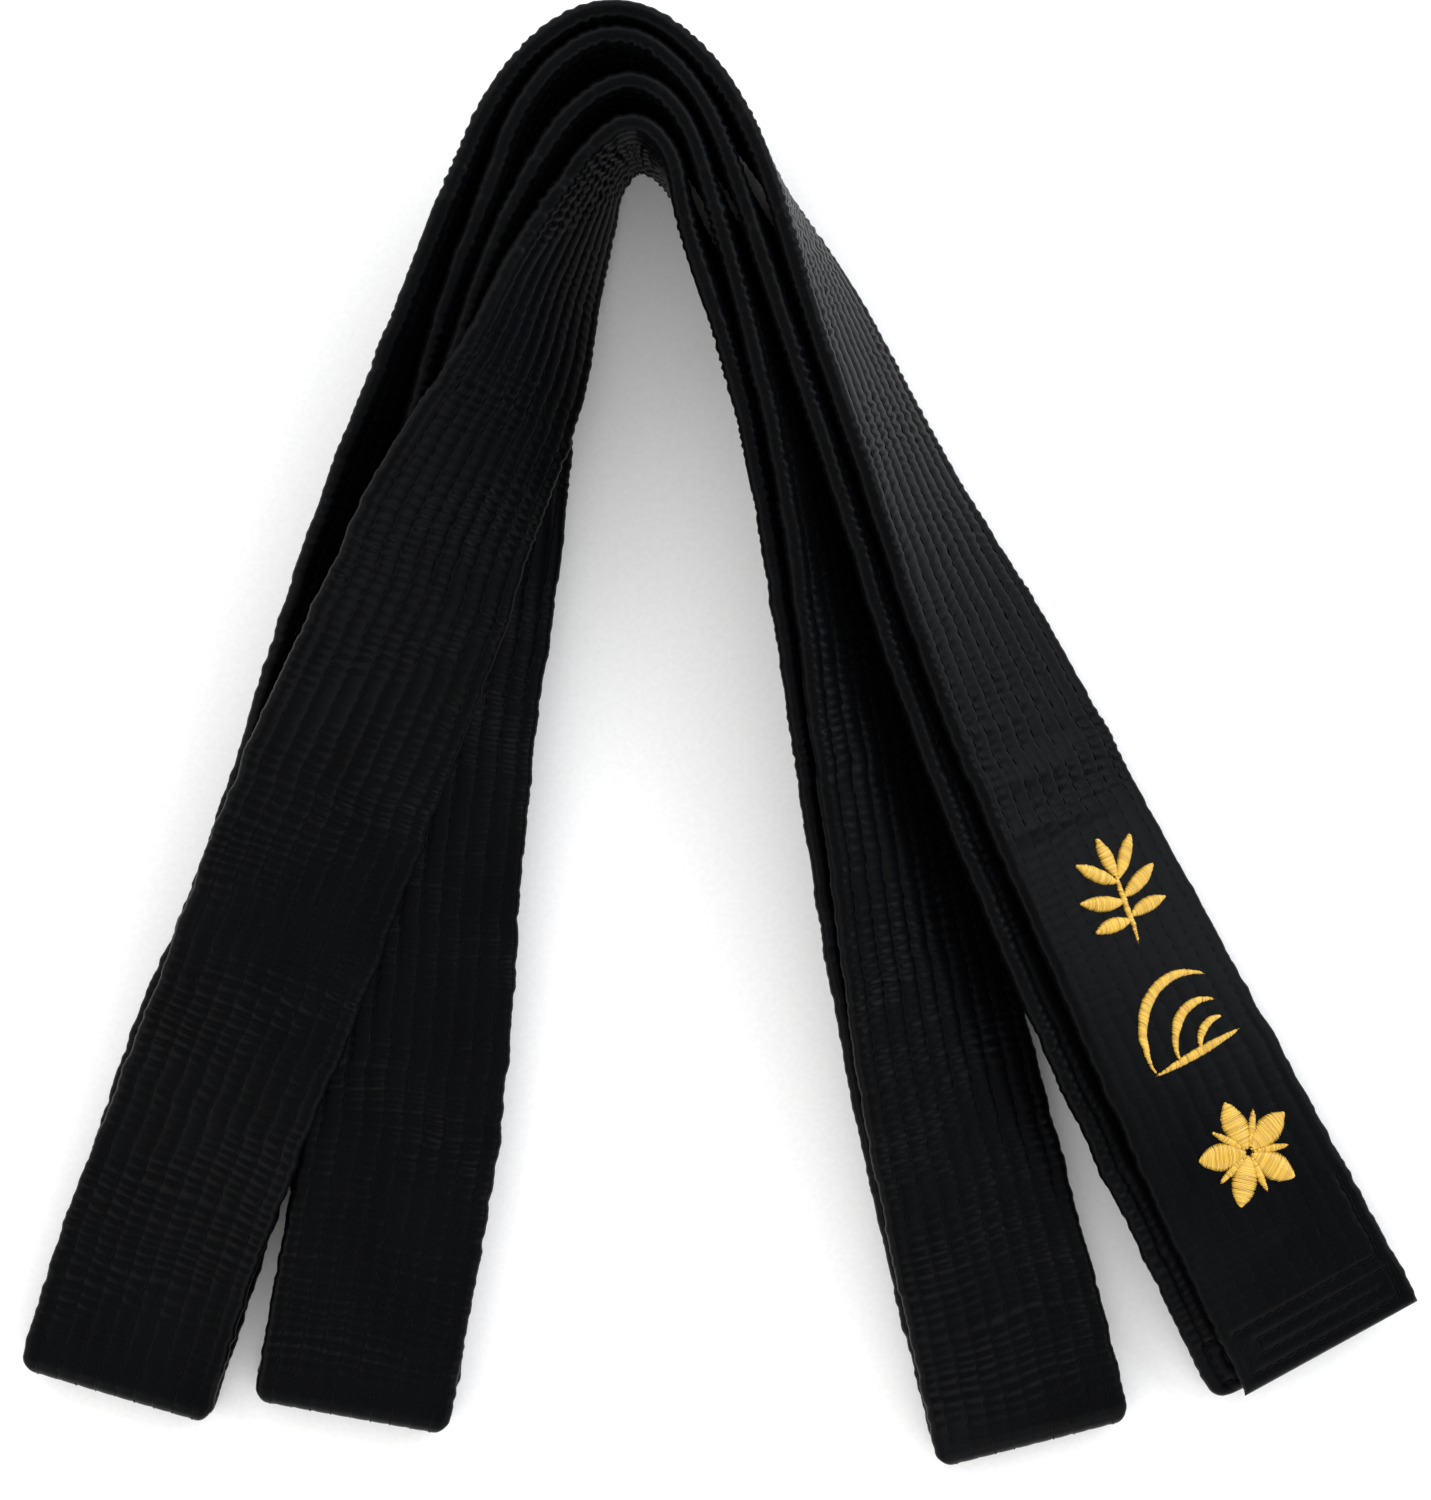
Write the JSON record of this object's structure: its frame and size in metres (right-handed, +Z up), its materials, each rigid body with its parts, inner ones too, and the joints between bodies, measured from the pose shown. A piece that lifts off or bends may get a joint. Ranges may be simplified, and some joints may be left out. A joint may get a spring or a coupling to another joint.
{
  "type": "martial arts belt",
  "caption": "Black quilted satin belt folded in half twice and laid in an arch, with gold embroidered ornaments near one end.",
  "frame": {"origin": "on the table, below the middle of the outline seen from above", "axes": "+Z up off the table, +Y towards the top of the arch, +X towards the leg with the two free ends"},
  "size_m": [0.3182, 0.3269, 0.0493],
  "materials": {
    "satin_cover": "black polyester satin, quilted in close lengthwise rows",
    "canvas": "unbleached cotton canvas wrap",
    "felt": "needled cotton felt core",
    "gold_thread": "rayon embroidery thread in satin stitch",
    "black_thread": "black polyester sewing thread"
  },
  "bodies": {
    "arch": {"arch_strand_1_satin_cover": "satin_cover", "arch_strand_1_canvas_wrap": "canvas", "arch_strand_1_felt_core": "felt", "arch_strand_2_satin_cover": "satin_cover", "arch_strand_2_canvas_wrap": "canvas", "arch_strand_2_felt_core": "felt", "arch_strand_3_satin_cover": "satin_cover", "arch_strand_3_canvas_wrap": "canvas", "arch_strand_3_felt_core": "felt", "arch_strand_4_satin_cover": "satin_cover", "arch_strand_4_canvas_wrap": "canvas", "arch_strand_4_felt_core": "felt"},
    "left_outer_fold": {"left_outer_fold_satin_cover": "satin_cover", "left_outer_fold_canvas_wrap": "canvas", "left_outer_fold_felt_core": "felt"},
    "left_inner_fold": {"left_inner_fold_satin_cover": "satin_cover", "left_inner_fold_canvas_wrap": "canvas", "left_inner_fold_felt_core": "felt"},
    "right_fold": {"right_fold_satin_cover": "satin_cover", "right_fold_canvas_wrap": "canvas", "right_fold_felt_core": "felt"},
    "plain_end": {"plain_end_satin_cover": "satin_cover", "plain_end_canvas_wrap": "canvas", "plain_end_felt_core": "felt", "upper_tail_satin_cover": "satin_cover", "upper_tail_canvas_wrap": "canvas", "upper_tail_felt_core": "felt"},
    "embroidered_end": {"embroidered_end_satin_cover": "satin_cover", "embroidered_end_canvas_wrap": "canvas", "embroidered_end_felt_core": "felt", "leaf_sprig_ornament": "gold_thread", "wave_ornament": "gold_thread", "blossom_ornament": "gold_thread", "embroidered_end_stitching": "black_thread"}
  },
  "joints": [
    {"name": "left_outer_bend", "type": "hinge", "parent": "arch", "child": "left_outer_fold", "pos_m": [-0.12182, -0.09943, 0.01422], "axis": [-0.926, 0.3709, -0.0707], "range_deg": [0, 40]},
    {"name": "left_inner_bend", "type": "hinge", "parent": "arch", "child": "left_inner_fold", "pos_m": [-0.07618, -0.11198, 0.01154], "axis": [-0.9783, 0.1814, 0.1002], "range_deg": [0, 40]},
    {"name": "right_bend", "type": "hinge", "parent": "arch", "child": "right_fold", "pos_m": [0.05932, -0.10374, 0.01563], "axis": [-0.933, -0.2252, 0.2809], "range_deg": [0, 40]},
    {"name": "tail_bend", "type": "hinge", "parent": "arch", "child": "plain_end", "pos_m": [0.06633, 0.01303, 0.01922], "axis": [-0.6604, -0.3181, 0.6802], "range_deg": [0, 25]},
    {"name": "embroidered_end_bend", "type": "hinge", "parent": "plain_end", "child": "embroidered_end", "pos_m": [0.08028, -0.01624, 0.01826], "axis": [-0.7227, -0.3519, 0.5949], "range_deg": [0, 60]}
  ]
}
